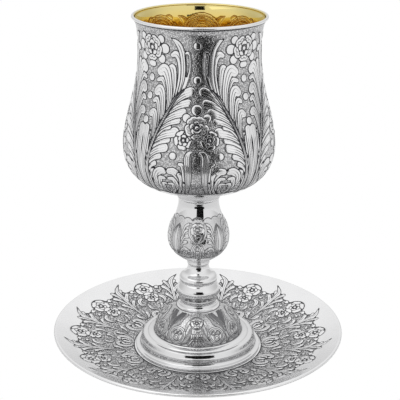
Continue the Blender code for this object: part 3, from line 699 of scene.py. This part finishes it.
def draw_spray(work):
    """An acanthus spray: a rib that climbs towards the front, lobes below it and blades above."""
    blades = [
        (((37.2, 87.0), (37.4, 99.0), (37.4, 112.0)), (0.4, 0.6, 0.7), 0),
        (((40.4, 87.0), (40.0, 99.0), (39.0, 114.5)), (0.5, 0.8, 0.8), 1),
        (((43.4, 89.0), (43.2, 100.0), (42.2, 111.0), (42.4, 117.4)), (0.8, 1.2, 1.5, 1.8), 2),
        (((33.8, 111.5), (32.4, 121.0), (34.0, 127.4), (36.4, 130.0), (39.0, 129.4)),
         (0.6, 0.9, 1.0, 1.2, 1.1), 1),
        (((36.6, 107.0), (35.0, 116.0), (35.6, 121.6), (37.8, 124.4), (40.2, 123.8)),
         (0.5, 0.9, 1.3, 1.8, 1.6), 2),
        (((28.8, 118.5), (26.6, 127.5), (28.4, 135.0), (32.0, 138.8), (37.0, 138.4)),
         (0.6, 0.9, 1.0, 1.2, 1.0), 1),
        (((31.6, 114.5), (29.2, 124.0), (31.0, 131.4), (34.0, 134.4), (36.8, 133.4)),
         (0.6, 1.1, 1.6, 2.2, 2.0), 2),
        (((23.4, 124.5), (21.0, 133.0), (20.8, 140.4), (22.4, 144.3), (24.8, 144.3)),
         (0.6, 1.0, 1.2, 1.5, 1.2), 1),
        (((26.2, 121.5), (24.0, 131.0), (26.2, 138.8), (30.2, 143.1), (34.6, 142.2)),
         (0.6, 1.2, 1.7, 2.5, 2.2), 2),
        (((15.8, 132.0), (11.8, 139.0), (10.8, 146.0), (11.2, 151.4)), (0.5, 0.8, 0.8, 0.7), 1),
        (((20.4, 128.5), (16.0, 136.0), (14.4, 143.0), (15.8, 148.2), (19.2, 150.4), (22.6, 149.8)),
         (0.6, 1.2, 1.4, 1.5, 1.5, 1.1), 1),
        (((18.0, 130.5), (13.2, 138.4), (12.4, 146.0), (14.0, 151.8), (17.8, 155.3), (23.4, 157.2)),
         (0.5, 1.0, 1.1, 1.3, 1.2, 0.1), 1),
        (((14.4, 133.4), (9.4, 139.0), (7.8, 145.0), (8.6, 150.6)), (0.5, 1.0, 1.3, 1.3), 0)]
    for places, widths, veins in blades:
        work.frond(places, widths, veins=veins, vein_end=0.84)
    work.frond([(9.4, 141.0), (8.4, 145.0), (9.0, 149.8)], [0.2, 0.55, 0.65],
               low=0.4, high=0.4, dome=0.0, hollow=1.0)
    forked = (17.0, 117.4)
    lobes = [((32.2, 102.8), 1.45, 1), ((28.3, 106.4), 1.5, 1), ((24.6, 110.4), 2.2, 3),
             ((22.2, 113.9), 1.5, 1), (forked, 2.25, 3), ((15.4, 122.4), 1.6, 2),
             ((12.0, 125.8), 2.15, 3), ((7.4, 129.9), 1.75, 2), ((5.6, 134.6), 2.2, 3)]
    for tip, width, veins in lobes:
        angle, height = tip
        shoulder = on_rib(height - 1.5, 0.46 * (on_rib(height)[0] - angle))
        lobe = [on_rib(height - 16.0, 0.1), on_rib(height - 9.5, 0.3), on_rib(height - 4.8, 0.5),
                shoulder, tip]
        work.frond(lobe, [0.3, 0.5, 0.62 * width, 0.85 * width, width], veins=veins, vein_end=0.9)
        if tip == forked:
            work.frond([on_rib(106.0, 0.2), on_rib(112.5, 0.6), (27.6, 117.9), (21.8, 119.4)],
                       [0.3, 0.6, 1.0, 1.25], veins=1)
    work.paint([(RIB, np.linspace(0.75, 0.3, len(RIB)))], low=0.7, high=0.8, veins=1, vein_end=1.0)


def draw_bowl_foot(work):
    """Round the bottom: a niche in front, blades beside it, and a shell of nested curls each side."""
    work.frond([(38.6, 87.0), (37.6, 93.0), (35.2, 98.2), (32.2, 99.4)], [0.5, 0.9, 1.1, 1.1], veins=1)
    shell = 22.2
    curls = {1: ((26.2, 99.7, 1.85), (26.4, 96.2, 1.15), (25.0, 93.4, 0.85)),
             -1: ((18.0, 100.0, 1.9), (18.8, 96.4, 1.15), (19.6, 93.6, 0.85))}
    for side, tips in curls.items():
        for rank, (angle, height, width) in enumerate(tips):
            swing = (9.4 - 2.6 * rank) * side
            curl = [(shell + 0.35 * swing, GROUND_LOW), (shell + 0.98 * swing, height - 5.6 + rank),
                    (shell + 0.95 * swing, height - 2.2), (angle + 1.4 * side, height),
                    (angle - 1.8 * side, height)]
            work.frond(curl, [0.6, 0.85 * width, width, width, 0.85 * width],
                       veins=2 if rank == 0 else 1, vein_end=0.72)
    work.frond([(15.5, GROUND_LOW), (11.9, 92.5), (11.4, 96.5), (12.6, 98.8)],
               [0.5, 0.9, 1.0, 1.1], veins=1)
    work.frond([(12.2, GROUND_LOW), (9.2, 93.0), (8.9, 99.0), (9.8, 103.0), (12.4, 103.7)],
               [0.5, 0.8, 1.0, 1.1, 0.8], veins=1)
    work.frond([(0.0, 103.4), (0.0, 107.6)], [2.1, 2.3], low=0.05, high=0.05, dome=0.0, hollow=1.0)
    work.frond([(8.8, GROUND_LOW), (6.4, 94.0), (6.0, 101.0), (6.4, 106.0), (5.2, 108.4), (2.6, 109.2)],
               [0.6, 1.2, 1.5, 1.6, 1.3, 0.6], veins=3, vein_end=0.8)
    work.pearl((17.3, 107.1), 1.75)
    work.pearl((18.5, 139.6), 0.75, low=0.0, high=0.0, hollow=1.0)
    for pit in ((9.6, 94.8), (37.6, 94.8), (22.6, 100.6), (38.2, 116.6), (34.3, 110.4), (26.7, 143.2),
                (28.8, 132.0)):
        work.pearl(pit, 0.36, low=0.2, high=0.2, hollow=1.0)


def draw_flowers(work):
    """A cluster on the front column, and one on the side column under the lip."""
    work.pearl((0.0, 127.0), 2.5, dome=0.4)
    work.pearl((8.2, 123.6), 1.9, dome=0.4)
    work.flower((9.8, 114.2), 4.4, turn=0.5)
    work.flower((0.0, 119.6), 5.4, turn=math.pi)
    for place, radius in (((33.8, 156.2), 1.9), ((33.6, 147.6), 2.0), ((30.2, 152.2), 2.3)):
        work.pearl(place, radius, dome=0.35)
    work.paint([([(SIDE - 1.8, 144.9), (SIDE + 1.8, 144.9)], [1.4, 1.4])], dome=0.4)
    work.flower((SIDE, 152.0), 5.9, turn=math.pi)
    for height in (138.9, 131.0, 120.7):
        work.pearl((SIDE, height), 1.75)
    for height in (154.2, 139.5):
        work.pearl((0.0, height), 1.8)


def draw_bowl(work, ground_top):
    """Half of one front, on a ground that ends at the given height."""
    work.ground(GROUND_LOW, ground_top)
    draw_bowl_foot(work)
    draw_spray(work)
    draw_flowers(work)


bowl_work = Chasing(bowl_skin, turn=PATTERN_TURN)
draw_bowl(bowl_work, GROUND_TOP)
bowl = bowl_skin.build("bowl_chased", bowl_work.emboss(bowl_skin, depth=0.26, groove=0.06))
bowl.data.materials.append(chased_metal("chased silver of the bowl", SILVER, OXIDE))
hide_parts("bowl")
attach(bowl, "root")


# Gilding
# The inside of the bowl is washed with gold up to the lip. The chasing shows there in
# reverse, because the same thin sheet carries it; its lines and marks are darkened in
# orange brown as painted shade of that reverse relief.

GILT_BACK = 0.8  # how far in from the outside the gilding's hidden side lies
ARC_HEIGHT = 149.6  # the back of the chasing shows as nested arcs below the lip
ARC_SIZES = (8.4, 7.0, 5.6, 4.2)
gilt_outer = bowl_wall[1:]
inside = (gilt_outer - SHEET * outward_of(gilt_outer))[::-1]
inside = inside[inside[:, 0] > 7.0]
gilt_rim = arc_run(LIP_MIDDLE, LIP_BEAD + 0.04, 196.0, 118.0, 6)
inside = np.vstack([[(CENTRE, BOWL_BASE + SHEET), (6.0, BOWL_BASE + SHEET)], inside, gilt_rim])
rim_back = arc_run(LIP_MIDDLE, 0.5 * LIP_BEAD, 130.0, 190.0, 2)
wall_back = (gilt_outer - GILT_BACK * outward_of(gilt_outer))[::5][:-1]
base_back = [(6.0, BOWL_BASE + GILT_BACK), (CENTRE, BOWL_BASE + GILT_BACK)]
gilt_skin = TurnedSkin(inside, steps=360, hidden=[*rim_back, *wall_back, *base_back])

gilt_work = Chasing(gilt_skin, turn=PATTERN_TURN)
draw_bowl(gilt_work, ground_top=LIP_TOP + 5.0)
for middle in (0.0, SIDE):
    for size in ARC_SIZES:
        arc = [gilt_work.moved((middle, ARC_HEIGHT), size * math.sin(a), size * math.cos(a))
               for a in np.radians(np.linspace(-100.0, 100.0, 12))]
        gilt_work.paint([(arc, [0.45] * len(arc))], dome=0.8)
gilt_work.field[:] = FAR_FROM_LINES
gilt_attributes = gilt_work.emboss(gilt_skin, depth=0.16, groove=0.05)
gilt_skin.shift = -gilt_skin.shift
gilding = gilt_skin.build("bowl_gilding", gilt_attributes)

DEEP_GOLD = (0.84, 0.60, 0.15)
PALE_GOLD = (0.80, 0.69, 0.30)
# GOLD_SHADE is the orange brown of the painted shade in the gold's lines and marks.
GOLD_SHADE = (0.42, 0.17, 0.01)
PALE_BAND = (8.0, 2.0)  # the depths below the lip between which the gold goes from deep to pale
BRIGHT_BAND = (17.0, 9.0)  # the same for the polish, which is kept up near the lip

# On the gold, patina and vein patina set how dark the painted shade in its lines and veins is.
gold = chased_metal("gold wash", DEEP_GOLD, GOLD_SHADE, line_width=0.24, patina=0.6, vein_patina=0.5)
gold_nodes, gold_links = gold.node_tree.nodes, gold.node_tree.links
gold_finish = next(node for node in gold_nodes if node.type == "GROUP")
gold_place = gold_nodes.new("ShaderNodeTexCoord")
gold_axes = gold_nodes.new("ShaderNodeSeparateXYZ")
gold_links.new(gold_place.outputs["Object"], gold_axes.inputs["Vector"])


def towards_lip(depths, low, high):
    """Low below the first depth under the lip, and high above the second."""
    start, end = [(LIP_TOP - depth) * MM for depth in depths]
    return ranged(gold.node_tree, gold_axes.outputs["Z"], start, end, low, high)


wash = gold_nodes.new("ShaderNodeMix")
wash.data_type = "RGBA"
wash.inputs["A"].default_value = (*DEEP_GOLD, 1.0)
wash.inputs["B"].default_value = (*PALE_GOLD, 1.0)
gold_links.new(towards_lip(PALE_BAND, 0.0, 1.0), wash.inputs["Factor"])
gold_links.new(wash.outputs["Result"], gold_finish.inputs["Metal"])
gold_links.new(towards_lip(BRIGHT_BAND, 0.38, 0.07), gold_finish.inputs["Polish"])
gold_links.new(towards_lip(BRIGHT_BAND, 0.5, 1.0), gold_nodes["Principled BSDF"].inputs["Metallic"])
gilding.data.materials.append(gold)
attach(gilding, "root")


# Studio
# A pale floor, a soft surround that is greyer behind the cup than in front, and the black
# cards that silver needs to show its shape: one along the floor and one upright behind it,
# one small and near, and one high.

FLOOR_TONE, FAR_FLOOR_TONE = 0.84, 0.97
FLOOR_FADE = (0.15, 0.9)  # the distances between which the floor pales, in metres


def stage_material(name, tone, far_tone=None):
    """A matt grey. With a far tone it pales with distance, and the camera sees it plain white."""
    material, nodes, links, shader = blank_material(name, metallic=0.0)
    shader.inputs["Base Color"].default_value = (tone, tone, tone, 1.0)
    shader.inputs["Roughness"].default_value = 1.0
    shader.inputs["Specular IOR Level"].default_value = 0.0
    if far_tone:
        place = nodes.new("ShaderNodeTexCoord")
        away = nodes.new("ShaderNodeVectorMath")
        away.operation = "LENGTH"
        links.new(place.outputs["Object"], away.inputs[0])
        paling = ranged(material.node_tree, away.outputs["Value"], *FLOOR_FADE, tone, far_tone)
        links.new(paling, shader.inputs["Base Color"])
        path = nodes.new("ShaderNodeLightPath")
        white = nodes.new("ShaderNodeEmission")
        pick = nodes.new("ShaderNodeMixShader")
        links.new(path.outputs["Is Camera Ray"], pick.inputs["Fac"])
        links.new(shader.outputs["BSDF"], pick.inputs[1])
        links.new(white.outputs["Emission"], pick.inputs[2])
        links.new(pick.outputs["Shader"], nodes["Material Output"].inputs["Surface"])
    return material


bpy.ops.mesh.primitive_circle_add(vertices=96, radius=1.6, fill_type="NGON", location=(0, 0, 0))
floor = bpy.context.object
floor.name = "floor"
floor.data.materials.append(stage_material("pale floor", FLOOR_TONE, FAR_FLOOR_TONE))

LOW = 0.001  # just clear of the floor
NEAR, FAR = 0.16, 0.42  # the cards' distances in front of the cup, in metres


def upright(left, right, distance, low, high):
    """The corners of an upright card in front of the cup."""
    return [(left, -distance, low), (right, -distance, low),
            (right, -distance, high), (left, -distance, high)]


along_floor = [(-0.036, -0.185, LOW), (0.086, -0.185, LOW), (0.200, -FAR, LOW), (-0.080, -FAR, LOW)]
cards = [along_floor, upright(-0.080, 0.200, FAR, LOW, 0.25), upright(-0.069, 0.094, NEAR, 0.0165, 0.052),
         upright(-0.075, 0.085, FAR, 0.42, 0.62)]
card_corners = [corner for corners in cards for corner in corners]
card_mesh = bpy.data.meshes.new("dark_card")
card_mesh.from_pydata(card_corners, [], [range(k, k + 4) for k in range(0, len(card_corners), 4)])
card = bpy.data.objects.new("dark_card", card_mesh)
bpy.context.scene.collection.objects.link(card)
card_mesh.materials.append(stage_material("black card", 0.01))
card.visible_camera = False
card.visible_diffuse = False
card.visible_shadow = False

BEHIND, IN_FRONT = 0.66, 0.97  # brightness of the surround
OVERHEAD = 0.34  # what it gains high up and behind
world = bpy.data.worlds.new("surround")
bpy.context.scene.world = world
world.use_nodes = True
world_nodes, world_links = world.node_tree.nodes, world.node_tree.links
background = world_nodes["Background"]
background.inputs["Color"].default_value = (1.0, 1.0, 1.0, 1.0)
direction = world_nodes.new("ShaderNodeTexCoord")
axes = world_nodes.new("ShaderNodeSeparateXYZ")
world_links.new(direction.outputs["Generated"], axes.inputs["Vector"])
around = ranged(world.node_tree, axes.outputs["Y"], start=0.55, end=-0.65, low=BEHIND, high=IN_FRONT,
                interpolation="SMOOTHSTEP")
upwards = world_nodes.new("ShaderNodeVectorMath")
upwards.operation = "DOT_PRODUCT"
upwards.inputs[1].default_value = (0.0, 0.5, 1.0)
world_links.new(direction.outputs["Generated"], upwards.inputs[0])
above = ranged(world.node_tree, upwards.outputs["Value"], start=0.4, end=1.1, low=0.0, high=OVERHEAD,
               interpolation="SMOOTHSTEP")
glow = world_nodes.new("ShaderNodeMath")
glow.operation = "ADD"
world_links.new(around, glow.inputs[0])
world_links.new(above, glow.inputs[1])
seen = world_nodes.new("ShaderNodeLightPath")
pick = world_nodes.new("ShaderNodeMix")
pick.data_type = "FLOAT"
pick.inputs["B"].default_value = 1.0
world_links.new(seen.outputs["Is Camera Ray"], pick.inputs["Factor"])
world_links.new(glow.outputs["Value"], pick.inputs["A"])
world_links.new(pick.outputs["Result"], background.inputs["Strength"])

LIGHT_PLACE = (-0.45, -0.35, 1.0)
LIT_MIDDLE = (0.0, 0.0, 0.08)
top_light = bpy.data.lights.new("top_light", "AREA")
top_light.shape = "RECTANGLE"
top_light.size, top_light.size_y = 0.9, 0.7
top_light.energy = 0.7
top_lamp = bpy.data.objects.new("top_light", top_light)
top_lamp.location = LIGHT_PLACE
top_lamp.rotation_euler = (Vector(LIT_MIDDLE) - Vector(LIGHT_PLACE)).to_track_quat("-Z", "Y").to_euler()
bpy.context.scene.collection.objects.link(top_lamp)

bpy.context.scene.view_settings.view_transform = "Standard"

CAMERA_PITCH = math.radians(19.74)
CAMERA_ROLL = math.radians(-0.38)
CAMERA_PLACE = (-0.0006, -0.4979, 0.2539)
CAMERA_LENS, SENSOR_WIDTH = 101.4, 36.0
camera_data = bpy.data.cameras.new("camera")
camera_data.lens = CAMERA_LENS
camera_data.sensor_width = SENSOR_WIDTH
camera = bpy.data.objects.new("camera", camera_data)
camera.location = CAMERA_PLACE
camera.rotation_euler = (math.pi / 2 - CAMERA_PITCH, CAMERA_ROLL, 0.0)
bpy.context.scene.collection.objects.link(camera)
bpy.context.scene.camera = camera
